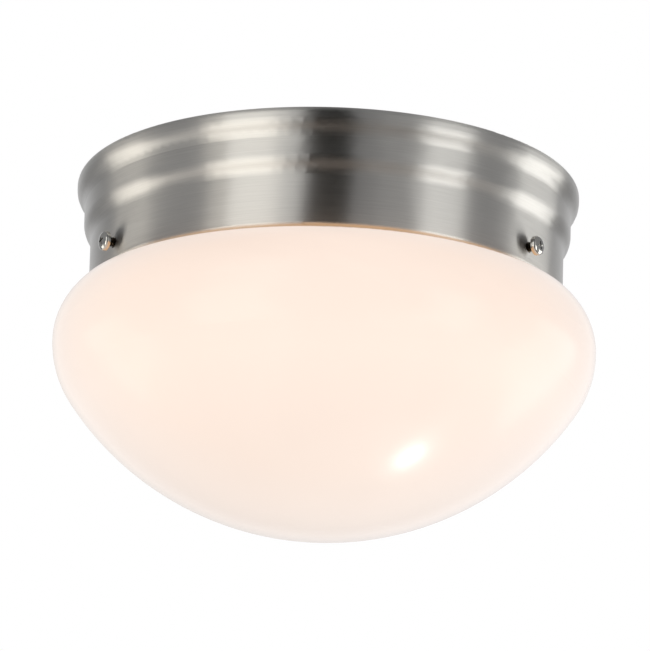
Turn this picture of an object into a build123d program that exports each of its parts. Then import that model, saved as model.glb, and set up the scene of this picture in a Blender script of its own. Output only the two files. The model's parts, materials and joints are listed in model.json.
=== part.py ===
from build123d import *
from math import asin, cos, degrees, radians, sin, tan
import os

# Flush mount ceiling light: a drawn metal pan with an opal glass shade held by three thumbscrews.
# Millimetres, +Z up. The origin is the centre of the plane that rests on the ceiling, so the
# whole light hangs below z = 0. The bulbs lie along X and the third thumbscrew is at the back, +Y.

# ---------------------------------------------------------------- pan
sheet = 0.8  # thickness of the drawn pan
pan_depth = 51.5
rim_radius = 109.0  # top band, against the ceiling
rim_inset = 3.4  # how far the middle band stands in from the top one
fitter_inset = 3.0  # and the lowest band, round the neck of the glass, from the middle one
middle_radius = rim_radius - rim_inset
fitter_radius = middle_radius - fitter_inset
rim_band = 4.8  # heights of the bands and of the soft steps between them
rim_step = 7.9
middle_band = 7.6
fitter_step = 8.4
rim_corner = 3.0
lip_roll = 2.0  # rolled lower edge

rim_land = 12.0  # width of the flat that lies against the ceiling
recess_depth = 12.0  # dished back of the pan, on the ceiling side
recess_slope = 5.0
recess_radius = rim_radius - rim_land - recess_slope
recess_corner = 3.0

# ---------------------------------------------------------------- glass shade
glass = 3.0
shade_overhang = 14.9  # how far the shade stands out past the fitter band
shade_radius = fitter_radius + shade_overhang
shade_height = 115.5  # from the top of the neck to the bottom of the bowl
shade_waist = 34.0  # from the top of the neck to the widest place
neck_play = 3.0  # between the outside of the fitter band and the flared top of the neck
neck_radius = fitter_radius - neck_play
neck_taper = 0.17  # how much the neck closes in for each unit downwards
root_radius = 3.0  # where the neck meets the ledge
brow_radius = 4.5  # where the ledge under the pan turns down into the shoulder
brow_turn = 80.0  # degrees above level of the ledge's face
shoulder_radius = 26.0
shoulder_turn = 47.0  # degrees of the shoulder's arc
side_radius = 40.0
neck_inset = 12.0  # how far the neck stands up inside the pan

# ---------------------------------------------------------------- thumbscrews and their nut plates
screw_count = 3
screw_drop = 43.0  # below the ceiling
screw_radius = 2.05
screw_length = 6.35
screw_tip = 1.2
screw_head_radius = 4.2
screw_head_height = 3.0
screw_head_rim = 1.3
recess_arm = 0.9  # cross recess in the head
recess_span = 4.8
recess_cut = 1.3
plate_width = 24.0
plate_height = 9.0
plate_thickness = 1.0
plate_play = 0.3  # between the plates and the inside of the fitter band
collar_radius = 3.4
collar_height = 0.6

# ---------------------------------------------------------------- ceiling hardware
strap_length = 104.0
strap_width = 19.0
strap_thickness = 1.6
box_screw_spacing = 88.9
box_slot_width = 4.8
box_slot_length = 9.5
pan_screw_spacing = 63.5
pan_screw_radius = 2.05
pan_screw_head = 4.2
pan_screw_head_height = 2.8
strap_collar_radius = 3.6
strap_collar_height = 1.6
strap_centre_hole = 4.9
keyhole_radius = 5.0
keyhole_travel = 8.0
pad_margin = 3.5  # between the pad and the foot of the recess's slope
pad_outer = recess_radius - pad_margin
pad_inner = 58.0
pad_thickness = 11.5
ground_x = -24.0
ground_y = 20.0
ground_radius = 2.3
ground_head_radius = 4.4
ground_head_height = 2.6
ground_length = 4.2
bushing_y = 17.5
bushing_bore = 5.0
bushing_wall = 1.5
bushing_flange = 8.0
bushing_flange_height = 1.5

# ---------------------------------------------------------------- lampholders
lamp_offset = 33.0  # each lamp's axis from the middle plane
lamp_drop = 46.0  # lamp axis below the ceiling
holder_inset = 37.0  # from the rim to the back of each porcelain body
holder_back = rim_radius - holder_inset
holder_radius = 19.5
holder_floor = 8.0
holder_rounding = 1.2
holder_depth = 27.3
shell_wall = 0.5
shell_length = 22.0
shell_hole = 7.5
contact_strip = 0.5
contact_width = 5.0
contact_rise = 2.5
contact_gap = 1.5  # between the strip's end and the shell's flange
bracket_thickness = 1.2
bracket_width = 22.0
bracket_foot = 23.0
bracket_tail = 14.0  # the leg's reach below the lamp axis
rivet_radius = 1.6
rivet_head = 3.0
rivet_head_height = 1.2
rivet_pitch = 10.0
rivet_edge = 8.0
holder_screw_radius = 1.5
holder_screw_head = 3.0
holder_screw_head_height = 2.0
holder_screw_grip = 5.0
holder_screw_spacing = 22.0
lead_radius = 1.3
lead_entry = 6.0  # each lead's hole beside the middle of the porcelain's back wall
lead_seat = 6.0
live_level = -16.3
live_lane_x = 44.0  # where each lead's straight lane between the bulbs starts and ends
live_lane_y = 9.5
neutral_level = -20.1
neutral_lane_x = 46.0
neutral_lane_y = 13.5
bend_share = 0.45

# ---------------------------------------------------------------- bulbs
bulb_radius = 30.0
bulb_length = 108.0
bulb_wall = 0.8
bulb_neck = 12.3
cap_radius = 13.1
cap_wall = 0.5
cap_length = 21.5
cap_overlap = 6.0
cap_hole = 9.0
cap_foot_radius = 10.5
cap_chamfer = 2.4
insulator_height = 3.3
tip_radius = 4.6
tip_height = 1.2

# ---------------------------------------------------------------- clearances
running = 0.05  # a screw in its thread
slip = 0.1  # fixed pieces that lie against round faces
loose = 0.3  # round faces of pieces that move past each other
hole_play = 0.35  # a plain hole round a screw or rivet

LEFT, RIGHT = 1, -1  # the left lamp points to +X, the right one to -X


def radial_plane(azimuth, height):
    """A plane through the centre line: its x runs outwards, its y up."""
    turn = radians(azimuth)
    return Plane(
        origin=(0, 0, height),
        x_dir=(cos(turn), sin(turn), 0),
        z_dir=(sin(turn), -cos(turn), 0),
    )


def lamp_plane(side, reach):
    """A plane through a lamp's axis: its x runs along the bulb, its y up."""
    return Plane(
        origin=(side * (reach - holder_back), -side * lamp_offset, -lamp_drop),
        x_dir=(side, 0, 0),
        z_dir=(0, -side, 0),
    )


def lamp_section(side, along):
    """A plane square to a lamp's axis, that far in front of the porcelain's back."""
    return Plane(
        origin=(side * (along - holder_back), -side * lamp_offset, -lamp_drop),
        x_dir=(0, 1, 0),
        z_dir=(side, 0, 0),
    )


def lamp_axis(side):
    return Axis((0, -side * lamp_offset, -lamp_drop), (side, 0, 0))


def save(node, name):
    node.part.label = name
    export_step(node.part, f"parts/{name}.step")


os.makedirs("parts", exist_ok=True)

# ================================================================ canopy pan
floor_top = -recess_depth
floor_under = floor_top - sheet
rim_step_top = -rim_band
rim_step_foot = rim_step_top - rim_step
fitter_step_top = rim_step_foot - middle_band
fitter_step_foot = fitter_step_top - fitter_step
lip_start = lip_roll - pan_depth
fitter_inside = fitter_radius - sheet
lip_opening = fitter_radius - lip_roll
screw_azimuths = [90 + step * 360 / screw_count for step in range(screw_count)]
pan_screw_x = pan_screw_spacing / 2
rivet_x = [holder_back + bracket_thickness - rivet_edge - step * rivet_pitch for step in (0, 1)]


def soft_step(top, foot):
    """Two equal arcs that meet the bands above and below without a crease."""
    middle = ((top[0] + foot[0]) / 2, (top[1] + foot[1]) / 2)
    upper = TangentArc(top, middle, tangent=(0, -1))
    TangentArc(middle, foot, tangent=upper % 1)


with BuildPart() as canopy_pan:
    with BuildSketch(Plane.XZ):
        with BuildLine():
            FilletPolyline(
                (0, floor_top),
                (recess_radius, floor_top),
                (recess_radius + recess_slope, 0),
                (rim_radius, 0),
                (rim_radius, rim_step_top),
                radius=[recess_corner, recess_corner, rim_corner],
            )
            soft_step((rim_radius, rim_step_top), (middle_radius, rim_step_foot))
            Line((middle_radius, rim_step_foot), (middle_radius, fitter_step_top))
            soft_step((middle_radius, fitter_step_top), (fitter_radius, fitter_step_foot))
            Line((fitter_radius, fitter_step_foot), (fitter_radius, lip_start))
            TangentArc((fitter_radius, lip_start), (lip_opening, -pan_depth), tangent=(0, -1))
            offset(amount=sheet, side=Side.RIGHT)
        make_face()
    revolve(axis=Axis.Z)
    # thumbscrew holes in the fitter band
    for azimuth in screw_azimuths:
        wall = radial_plane(azimuth, -screw_drop)
        with BuildSketch(Plane(origin=wall.origin, z_dir=wall.x_dir)):
            Circle(screw_radius + hole_play)
        extrude(amount=rim_radius, mode=Mode.SUBTRACT)
    # holes in the floor: keyholes, bracket rivets, ground screw, wire bushing
    with BuildSketch(Plane.XY.offset(floor_top)):
        for side in (LEFT, RIGHT):
            with Locations((-side * pan_screw_x, -side * keyhole_travel)):
                Circle(keyhole_radius)
            with Locations((-side * pan_screw_x, -side * keyhole_travel / 2)):
                SlotCenterToCenter(keyhole_travel, 2 * (pan_screw_radius + hole_play), rotation=90)
            with Locations([(-side * x, -side * lamp_offset) for x in rivet_x]):
                Circle(rivet_radius + slip)
        with Locations((ground_x, ground_y)):
            Circle(ground_radius + running)
        with Locations((0, bushing_y)):
            Circle(bushing_bore + bushing_wall + slip)
    extrude(amount=-2 * sheet, mode=Mode.SUBTRACT)
save(canopy_pan, "canopy_pan")

# ================================================================ insulation pad
with BuildPart() as insulation_pad:
    with BuildSketch(Plane.XY.offset(floor_top)):
        Circle(pad_outer)
        Circle(pad_inner, mode=Mode.SUBTRACT)
        for side in (LEFT, RIGHT):
            with Locations([(-side * x, -side * lamp_offset) for x in rivet_x]):
                Circle(rivet_head + loose, mode=Mode.SUBTRACT)
    extrude(amount=pad_thickness)
save(insulation_pad, "insulation_pad")

# ================================================================ mounting strap
with BuildPart() as mounting_strap:
    with BuildSketch():
        RectangleRounded(strap_length, strap_width, strap_width / 4)
    extrude(amount=-strap_thickness)
    with BuildSketch(Plane.XY.offset(-strap_thickness)):
        with GridLocations(pan_screw_spacing, 0, 2, 1):
            Circle(strap_collar_radius)
    extrude(amount=-strap_collar_height)
    with BuildSketch():
        with GridLocations(box_screw_spacing, 0, 2, 1):
            SlotOverall(box_slot_length, box_slot_width)
        with GridLocations(pan_screw_spacing, 0, 2, 1):
            Circle(pan_screw_radius + running)
        Circle(strap_centre_hole)
    extrude(amount=-2 * (strap_thickness + strap_collar_height), mode=Mode.SUBTRACT)
save(mounting_strap, "mounting_strap")

# ================================================================ mounting screws
with BuildPart() as mounting_screws:
    with BuildSketch(Plane.XY.offset(floor_under)):
        with GridLocations(pan_screw_spacing, 0, 2, 1):
            Circle(pan_screw_head)
    extrude(amount=-pan_screw_head_height)
    fillet(mounting_screws.edges().group_by(Axis.Z)[0], pan_screw_head_height / 3)
    with BuildSketch(Plane.XY.offset(floor_under)):
        with GridLocations(pan_screw_spacing, 0, 2, 1):
            Circle(pan_screw_radius)
    extrude(amount=-floor_under - loose)
    with BuildSketch(Plane.XY.offset(floor_under - pan_screw_head_height)):
        with GridLocations(pan_screw_spacing, 0, 2, 1):
            Rectangle(recess_span, recess_arm)
            Rectangle(recess_arm, recess_span)
    extrude(amount=recess_cut, mode=Mode.SUBTRACT)
save(mounting_screws, "mounting_screws")

# ================================================================ ground screw
with BuildPart() as ground_screw:
    with BuildSketch(Plane.XY.offset(floor_top)):
        with Locations((ground_x, ground_y)):
            RegularPolygon(ground_head_radius, 6)
    extrude(amount=ground_head_height)
    with BuildSketch(Plane.XY.offset(floor_top + ground_head_height)):
        with Locations((ground_x, ground_y)):
            Rectangle(2 * ground_head_radius, recess_arm)
    extrude(amount=-recess_cut, mode=Mode.SUBTRACT)
    with BuildSketch(Plane.XY.offset(floor_top)):
        with Locations((ground_x, ground_y)):
            Circle(ground_radius)
    extrude(amount=-ground_length)
save(ground_screw, "ground_screw")

# ================================================================ wire bushing
with BuildPart() as wire_bushing:
    for plane, way in ((floor_top, 1), (floor_under, -1)):
        with BuildSketch(Plane.XY.offset(plane)):
            with Locations((0, bushing_y)):
                Circle(bushing_flange)
        extrude(amount=way * bushing_flange_height)
    fillet(wire_bushing.edges().filter_by(GeomType.CIRCLE), bushing_flange_height / 3)
    with BuildSketch(Plane.XY.offset(floor_top)):
        with Locations((0, bushing_y)):
            Circle(bushing_bore + bushing_wall)
    extrude(amount=-sheet)
    with BuildSketch(Plane.XY.offset(floor_top + bushing_flange_height)):
        with Locations((0, bushing_y)):
            Circle(bushing_bore)
    extrude(amount=-(sheet + 2 * bushing_flange_height), mode=Mode.SUBTRACT)
save(wire_bushing, "wire_bushing")

# ================================================================ nut plates
# Curved plates against the inside of the fitter band, each with a tapped collar.
plate_outside = fitter_inside - plate_play
plate_inside = plate_outside - plate_thickness
collar_inside = plate_inside - collar_height
plate_arc = 2 * degrees(asin(plate_width / 2 / plate_outside))
with BuildPart() as nut_plates:
    for azimuth in screw_azimuths:
        with BuildSketch(radial_plane(azimuth - plate_arc / 2, -screw_drop)):
            with Locations((plate_inside + plate_thickness / 2, 0)):
                Rectangle(plate_thickness, plate_height)
        revolve(axis=Axis.Z, revolution_arc=plate_arc)
    corners = nut_plates.edges().filter_by(GeomType.LINE).group_by(SortBy.LENGTH)[0]
    fillet(corners, plate_height / 4)
    for azimuth in screw_azimuths:
        wall = radial_plane(azimuth, -screw_drop)
        inner = wall.origin + wall.x_dir * collar_inside
        with BuildSketch(Plane(origin=inner, z_dir=wall.x_dir)):
            Circle(collar_radius)
        extrude(amount=collar_height + plate_thickness / 2)
        with BuildSketch(Plane(origin=inner, z_dir=wall.x_dir)):
            Circle(screw_radius + running)
        extrude(amount=fitter_radius - collar_inside, mode=Mode.SUBTRACT)
save(nut_plates, "nut_plates")

# ================================================================ glass shade
neck_top = neck_inset - pan_depth
waist = neck_top - shade_waist
bowl_bottom = neck_top - shade_height
bowl_fall = waist - bowl_bottom
# The bowl is one large arc, tangent to the side arc and level at the centre.
bowl_radius = (shade_radius**2 + bowl_fall**2 - 2 * shade_radius * side_radius) / (
    2 * (bowl_fall - side_radius)
)
bowl_centre = bowl_bottom + bowl_radius
side_centre = (shade_radius - side_radius, waist)
side_turn_x = side_centre[0] / (bowl_radius - side_radius)
side_turn_z = (waist - bowl_centre) / (bowl_radius - side_radius)
side_foot = (side_centre[0] + side_radius * side_turn_x, waist + side_radius * side_turn_z)


def facing(angle):
    """The direction in the profile that faces outwards, so many degrees above level."""
    return Vector(cos(radians(angle)), sin(radians(angle)))


def downhill(angle):
    """The direction along the profile, outwards and down, where it faces that way."""
    return Vector(sin(radians(angle)), -cos(radians(angle)))


shoulder_centre = Vector(shade_radius - shoulder_radius, waist)
shoulder_top = shoulder_centre + facing(shoulder_turn) * shoulder_radius
brow_centre = shoulder_top - facing(shoulder_turn) * brow_radius
ledge_end = brow_centre + facing(brow_turn) * brow_radius
# The tapered neck and the ledge are straight, and would meet at this corner.
ledge_rise = 1 / tan(radians(brow_turn))
ledge_at_neck = ledge_end.Y + (ledge_end.X - neck_radius) * ledge_rise
neck_fall = (neck_top - ledge_at_neck) / (1 + neck_taper * ledge_rise)
neck_corner = Vector(neck_radius - neck_taper * neck_fall, neck_top - neck_fall)

with BuildPart() as glass_shade:
    with BuildSketch(Plane.XZ):
        with BuildLine():
            FilletPolyline(
                (neck_radius, neck_top), neck_corner, ledge_end, radius=[root_radius]
            )
            TangentArc(ledge_end, shoulder_top, tangent=downhill(brow_turn))
            TangentArc(shoulder_top, (shade_radius, waist), tangent=downhill(shoulder_turn))
            TangentArc((shade_radius, waist), side_foot, tangent=(0, -1))
            TangentArc(side_foot, (0, bowl_bottom), tangent=(side_turn_z, -side_turn_x))
            offset(amount=glass, side=Side.RIGHT)
        make_face()
    revolve(axis=Axis.Z)
    fillet(glass_shade.edges().group_by(Axis.Z)[-1], glass * 0.4)
save(glass_shade, "glass_shade")

# ================================================================ thumbscrews
# Each tip stops just short of the tapered neck, above which the neck is wider.
neck_at_tip = neck_radius - neck_taper * (neck_top + screw_drop - screw_tip)
tip_at = neck_at_tip + slip
head_at = tip_at + screw_length
head_top = head_at + screw_head_height

for azimuth, name in zip(screw_azimuths, ("rear", "left", "right")):
    wall = radial_plane(azimuth, -screw_drop)
    with BuildPart() as thumbscrew:
        with BuildSketch(wall):
            with BuildLine():
                Polyline(
                    (head_top, 0),
                    (tip_at, 0),
                    (tip_at, screw_tip),
                    (tip_at + screw_radius - screw_tip, screw_radius),
                    (head_at, screw_radius),
                    (head_at, screw_head_radius),
                    (head_at + screw_head_rim, screw_head_radius),
                )
                TangentArc(
                    (head_top, 0), (head_at + screw_head_rim, screw_head_radius), tangent=(0, 1)
                )
            make_face()
        revolve(axis=Axis(wall.origin, wall.x_dir))
        with BuildSketch(Plane(origin=wall.origin + wall.x_dir * head_top, z_dir=wall.x_dir)):
            Rectangle(recess_span, recess_arm)
            Rectangle(recess_arm, recess_span)
        extrude(amount=-recess_cut, mode=Mode.SUBTRACT)
    save(thumbscrew, f"thumbscrew_{name}")

# ================================================================ lampholders and bulbs
shell_inside = cap_radius + loose
shell_outside = shell_inside + shell_wall
holder_bore = shell_outside + loose
holder_screw_y = holder_screw_spacing / 2
lead_entry_x = holder_back - holder_floor / 2
leg_top = lamp_drop + floor_under
# The bulb is seated when its tip is just off the contact's tongue.
tip_seat = holder_floor + contact_rise + contact_strip + loose
cap_foot = tip_height + insulator_height
cap_end = cap_foot + cap_length
neck_start = cap_end - cap_overlap
crown_centre = bulb_length - bulb_radius
# The neck of the bulb is one hollow arc, tangent to its straight end and to its crown.
blend_run = crown_centre - cap_end
blend_radius = (blend_run**2 + bulb_neck**2 - bulb_radius**2) / (2 * (bulb_radius - bulb_neck))
crown_share = bulb_radius / (bulb_radius + blend_radius)
crown_start = (crown_centre - blend_run * crown_share, (bulb_neck + blend_radius) * crown_share)

for side, name in ((LEFT, "left"), (RIGHT, "right")):
    # porcelain body: a thick back wall with the lead holes and screw holes, and an open cup
    with BuildPart() as socket_body:
        with BuildSketch(lamp_plane(side, 0)):
            with BuildLine():
                Polyline(
                    (0, 0),
                    (0, holder_radius),
                    (holder_floor + holder_depth, holder_radius),
                    (holder_floor + holder_depth, holder_bore),
                    (holder_floor, holder_bore),
                    (holder_floor, 0),
                    close=True,
                )
            make_face()
        revolve(axis=lamp_axis(side))
        mouth = socket_body.faces().sort_by(Axis((0, 0, 0), (side, 0, 0)))[-1]
        fillet(mouth.edges(), holder_rounding)
        with BuildSketch(lamp_section(side, 0)):
            with Locations((-holder_screw_y, 0), (holder_screw_y, 0)):
                Circle(holder_screw_radius + slip)
        extrude(amount=holder_screw_grip + slip, mode=Mode.SUBTRACT)
        with BuildSketch(Plane.XY.offset(-lamp_drop + holder_radius)):
            with Locations(
                (-side * (holder_back - holder_floor / 2), -side * (lamp_offset - lead_entry)),
                (-side * (holder_back - holder_floor / 2), -side * (lamp_offset + lead_entry)),
            ):
                Circle(lead_radius + slip)
        extrude(amount=-(lead_seat + slip), mode=Mode.SUBTRACT)
    save(socket_body, f"socket_body_{name}")

    # screw shell: a cup without its rolled thread, its flange on the porcelain's floor
    with BuildPart() as screw_shell:
        with BuildSketch(lamp_plane(side, holder_floor)):
            with BuildLine():
                Polyline(
                    (0, shell_hole),
                    (0, shell_outside),
                    (shell_length, shell_outside),
                    (shell_length, shell_inside),
                    (shell_wall, shell_inside),
                    (shell_wall, shell_hole),
                    close=True,
                )
            make_face()
        revolve(axis=lamp_axis(side))
    save(screw_shell, f"screw_shell_{name}")

    # centre contact: a bent spring strip whose tongue meets the bulb's tip
    with BuildPart() as center_contact:
        with BuildSketch(lamp_plane(side, holder_floor)):
            with BuildLine():
                FilletPolyline(
                    (0, contact_gap - shell_hole),
                    (0, -contact_rise),
                    (contact_rise, 0),
                    (contact_rise, contact_rise),
                    radius=contact_strip,
                )
                offset(amount=contact_strip, side=Side.RIGHT)
            make_face()
        extrude(amount=contact_width / 2, both=True)
    save(center_contact, f"center_contact_{name}")

    # bracket: one bent strip, its foot under the pan floor, its leg behind the porcelain
    with BuildPart() as socket_bracket:
        with BuildSketch(lamp_plane(side, 0)):
            with BuildLine():
                FilletPolyline(
                    (-bracket_thickness, -bracket_tail),
                    (-bracket_thickness, leg_top),
                    (bracket_foot - bracket_thickness, leg_top),
                    radius=[2 * bracket_thickness],
                )
                offset(amount=bracket_thickness, side=Side.RIGHT)
            make_face()
        extrude(amount=bracket_width / 2, both=True)
        tail = socket_bracket.edges().filter_by(Axis.X).group_by(Axis.Z)[0]
        fillet(tail, bracket_width / 4)
        with BuildSketch(Plane.XY.offset(floor_under)):
            with Locations([(-side * x, -side * lamp_offset) for x in rivet_x]):
                Circle(rivet_radius + slip)
        extrude(amount=-bracket_thickness, mode=Mode.SUBTRACT)
        with BuildSketch(lamp_section(side, -bracket_thickness)):
            with Locations((-holder_screw_y, 0), (holder_screw_y, 0)):
                Circle(holder_screw_radius + slip)
        extrude(amount=bracket_thickness, mode=Mode.SUBTRACT)
    save(socket_bracket, f"socket_bracket_{name}")

    # bulb: glass envelope, its neck inside the screw cap
    with BuildPart() as bulb_glass:
        with BuildSketch(lamp_plane(side, tip_seat)):
            with BuildLine():
                Line((neck_start, bulb_neck), (cap_end, bulb_neck))
                TangentArc((cap_end, bulb_neck), crown_start, tangent=(1, 0))
                TangentArc(
                    crown_start,
                    (bulb_length, 0),
                    tangent=(crown_start[1], crown_centre - crown_start[0]),
                )
                offset(amount=bulb_wall, side=Side.RIGHT)
            make_face()
        revolve(axis=lamp_axis(side))
    save(bulb_glass, f"bulb_glass_{name}")

    # screw cap: a cup with a narrowed foot, its thread left plain
    with BuildPart() as bulb_cap:
        with BuildSketch(lamp_plane(side, tip_seat)):
            with BuildLine():
                Polyline(
                    (cap_foot, cap_hole),
                    (cap_foot, cap_foot_radius),
                    (cap_foot + cap_chamfer, cap_radius),
                    (cap_end, cap_radius),
                )
                offset(amount=cap_wall, side=Side.RIGHT)
            make_face()
        revolve(axis=lamp_axis(side))
    save(bulb_cap, f"bulb_cap_{name}")

    # insulator: a cone between the cap and the tip
    with BuildPart() as bulb_insulator:
        with BuildSketch(lamp_plane(side, tip_seat)):
            with BuildLine():
                Polyline(
                    (tip_height, 0),
                    (tip_height, tip_radius),
                    (cap_foot, cap_foot_radius),
                    (cap_foot, 0),
                    close=True,
                )
            make_face()
        revolve(axis=lamp_axis(side))
    save(bulb_insulator, f"bulb_insulator_{name}")

    with BuildPart() as bulb_tip:
        with BuildSketch(lamp_section(side, tip_seat)):
            Circle(tip_radius)
        extrude(amount=tip_height)
        foot = bulb_tip.faces().sort_by(Axis((0, 0, 0), (side, 0, 0)))[0]
        fillet(foot.edges(), tip_height / 2)
    save(bulb_tip, f"bulb_tip_{name}")

# ================================================================ bracket rivets
with BuildPart() as bracket_rivets:
    for level, way in ((floor_top, 1), (floor_under - bracket_thickness, -1)):
        with BuildSketch(Plane.XY.offset(level)):
            for side in (LEFT, RIGHT):
                with Locations([(-side * x, -side * lamp_offset) for x in rivet_x]):
                    Circle(rivet_head)
        extrude(amount=way * rivet_head_height)
    for group in (0, -1):
        fillet(bracket_rivets.edges().group_by(Axis.Z)[group], rivet_head_height / 2)
    with BuildSketch(Plane.XY.offset(floor_top)):
        for side in (LEFT, RIGHT):
            with Locations([(-side * x, -side * lamp_offset) for x in rivet_x]):
                Circle(rivet_radius)
    extrude(amount=-(sheet + bracket_thickness))
save(bracket_rivets, "bracket_rivets")

# ================================================================ holder screws
with BuildPart() as holder_screws:
    for side in (LEFT, RIGHT):
        with BuildSketch(lamp_section(side, -bracket_thickness)):
            with Locations((-holder_screw_y, 0), (holder_screw_y, 0)):
                Circle(holder_screw_head)
        extrude(amount=-holder_screw_head_height)
        with BuildSketch(lamp_section(side, -bracket_thickness)):
            with Locations((-holder_screw_y, 0), (holder_screw_y, 0)):
                Circle(holder_screw_radius)
        extrude(amount=bracket_thickness + holder_screw_grip)
        with BuildSketch(lamp_section(side, -bracket_thickness - holder_screw_head_height)):
            with Locations((-holder_screw_y, 0), (holder_screw_y, 0)):
                Rectangle(2 * holder_screw_head, recess_arm)
        extrude(amount=recess_cut / 2, mode=Mode.SUBTRACT)
save(holder_screws, "holder_screws")

# ================================================================ leads
# Each lead joins both lampholders, in the space over and between the bulbs.
lead_foot = holder_radius - lamp_drop - lead_seat


def bend_radii(points):
    """The widest arc that the shorter run at each corner leaves room for."""
    radii = []
    for before, corner, after in zip(points, points[1:], points[2:]):
        inward = Vector(corner) - Vector(before)
        onward = Vector(after) - Vector(corner)
        turn = radians(inward.get_angle(onward))
        radii.append(bend_share * min(inward.length, onward.length) / tan(turn / 2))
    return radii


for name, way, level, lane_x, lane_y in (
    ("live_lead", -1, live_level, live_lane_x, live_lane_y),
    ("neutral_lead", 1, neutral_level, neutral_lane_x, neutral_lane_y),
):
    entry_y = lamp_offset + way * lead_entry
    points = [
        (-lead_entry_x, -entry_y, lead_foot),
        (-lead_entry_x, -entry_y, level),
        (-lane_x, -lane_y, level),
        (lane_x, -lane_y, level),
        (lead_entry_x, entry_y, level),
        (lead_entry_x, entry_y, lead_foot),
    ]
    radii = bend_radii(points)
    with BuildPart() as lead:
        with BuildLine():
            route = FilletPolyline(*points, radius=radii)
        with BuildSketch(Plane(origin=route @ 0, z_dir=route % 0)):
            Circle(lead_radius)
        sweep(path=route)
    print(name, "length", round(route.length, 1), "bends", [round(r, 1) for r in radii])
    save(lead, name)
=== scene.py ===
# %% [markdown]
# # A flush mount ceiling light, dressed for the camera
#
# The light is a spun metal pan screwed to a ceiling box, two lampholders with their bulbs, and an
# opal glass shade that three thumbscrews hold by its neck. Its solids come from the CAD model,
# already in place and to size. This lesson adds what solids are poor at: threads, felt, wires that
# bend like wires, and a finish for every surface.

# %% Load the fixed frame
import json
import math

import bmesh
import bpy
from mathutils import Matrix, Vector, noise

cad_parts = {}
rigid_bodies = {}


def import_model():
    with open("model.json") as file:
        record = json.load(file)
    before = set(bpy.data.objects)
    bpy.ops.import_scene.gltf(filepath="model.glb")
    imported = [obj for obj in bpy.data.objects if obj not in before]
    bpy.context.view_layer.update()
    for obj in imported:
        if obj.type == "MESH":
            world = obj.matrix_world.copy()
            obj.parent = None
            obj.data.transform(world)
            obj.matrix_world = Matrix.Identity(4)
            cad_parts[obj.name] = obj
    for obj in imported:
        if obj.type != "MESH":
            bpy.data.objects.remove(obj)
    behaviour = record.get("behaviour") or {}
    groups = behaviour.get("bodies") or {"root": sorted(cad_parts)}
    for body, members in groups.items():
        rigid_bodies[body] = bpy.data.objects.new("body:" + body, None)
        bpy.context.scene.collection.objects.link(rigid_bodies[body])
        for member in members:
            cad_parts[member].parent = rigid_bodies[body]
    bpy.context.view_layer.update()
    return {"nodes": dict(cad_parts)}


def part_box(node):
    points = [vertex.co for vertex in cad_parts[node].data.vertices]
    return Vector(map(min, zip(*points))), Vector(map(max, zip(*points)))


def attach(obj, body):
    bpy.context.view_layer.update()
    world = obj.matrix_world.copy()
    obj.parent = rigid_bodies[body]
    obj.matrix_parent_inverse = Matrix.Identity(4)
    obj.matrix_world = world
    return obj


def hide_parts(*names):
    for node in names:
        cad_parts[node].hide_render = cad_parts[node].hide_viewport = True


for leftover in list(bpy.data.objects):
    bpy.data.objects.remove(leftover)
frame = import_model()
scene = bpy.context.scene

# %% [markdown]
# ## The camera
#
# Product pictures of ceiling lights are taken from far off with a long lens, so that the round pan
# stays round. The nearer rim would look larger through a short one. The camera stands 3.5 m away
# and 18 degrees below the light, and leans one and a half degrees, as in the photograph.

# %% Camera
CAMERA_AZIMUTH = math.radians(272.9)
CAMERA_BELOW = math.radians(17.93)
CAMERA_LEAN = math.radians(1.576)
CAMERA_DISTANCE = 3.5
FOCAL_LENGTH = 447.5  # in millimetres, unlike the rest
VIEW_DEPTH = 30
aim = Vector((0.0001, 0, -0.0626))

to_camera = Vector(
    (
        math.cos(CAMERA_BELOW) * math.cos(CAMERA_AZIMUTH),
        math.cos(CAMERA_BELOW) * math.sin(CAMERA_AZIMUTH),
        -math.sin(CAMERA_BELOW),
    )
)
level = Vector((-math.sin(CAMERA_AZIMUTH), math.cos(CAMERA_AZIMUTH), 0))
up = to_camera.cross(level)
camera_x = level * math.cos(CAMERA_LEAN) + up * math.sin(CAMERA_LEAN)
camera_y = to_camera.cross(camera_x)
camera = bpy.data.objects.new("camera", bpy.data.cameras.new("camera"))
scene.collection.objects.link(camera)
turn = Matrix((camera_x, camera_y, to_camera)).transposed().to_4x4()
camera.matrix_world = Matrix.Translation(aim + to_camera * CAMERA_DISTANCE) @ turn
camera.data.lens = FOCAL_LENGTH
camera.data.clip_end = VIEW_DEPTH
scene.camera = camera
print("camera at", [round(v, 3) for v in camera.location])

# %% [markdown]
# ## The studio
#
# Bare metal shows what stands round it, so the studio is what gives the pan its look. Its bright
# patches are softboxes to the left and right, set below the light's height, so that the steps, which
# face downwards, shine more than the upright bands. Each softbox is hot in the middle and fades to
# its edge. A small oval lamp below gives the one sharp highlight on the glass, and a large one
# shines on the floor. The lamps are area lights, because a light with a size gives soft edges, and a
# point would give hard glints.

# %% Soft lamps
BOX_SHARES = (1.0, 0.85, 0.7, 0.55, 0.4)  # sizes of the lamps that one softbox is made of
warm, neutral = (1.0, 0.955, 0.86), (1.0, 1.0, 0.97)


def studio_place(azimuth, elevation, distance):
    """A point round the light, from degrees and metres."""
    a, e = math.radians(azimuth), math.radians(elevation)
    way = Vector((math.cos(e) * math.cos(a), math.cos(e) * math.sin(a), math.sin(e)))
    return aim + way * distance


def soft_lamp(name, place, width, height, brightness, colour=(1, 1, 1), shape="RECTANGLE", towards=aim):
    """A softbox. A flat lamp of that brightness needs pi times its area in watts."""
    data = bpy.data.lights.new(name, "AREA")
    data.shape = shape
    data.size, data.size_y = width, height
    data.energy = brightness * math.pi * width * height
    data.color = colour
    lamp = bpy.data.objects.new(name, data)
    lamp.location = studio_place(*place)
    lamp.rotation_euler = (towards - lamp.location).to_track_quat("-Z", "Y").to_euler()
    scene.collection.objects.link(lamp)


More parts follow.
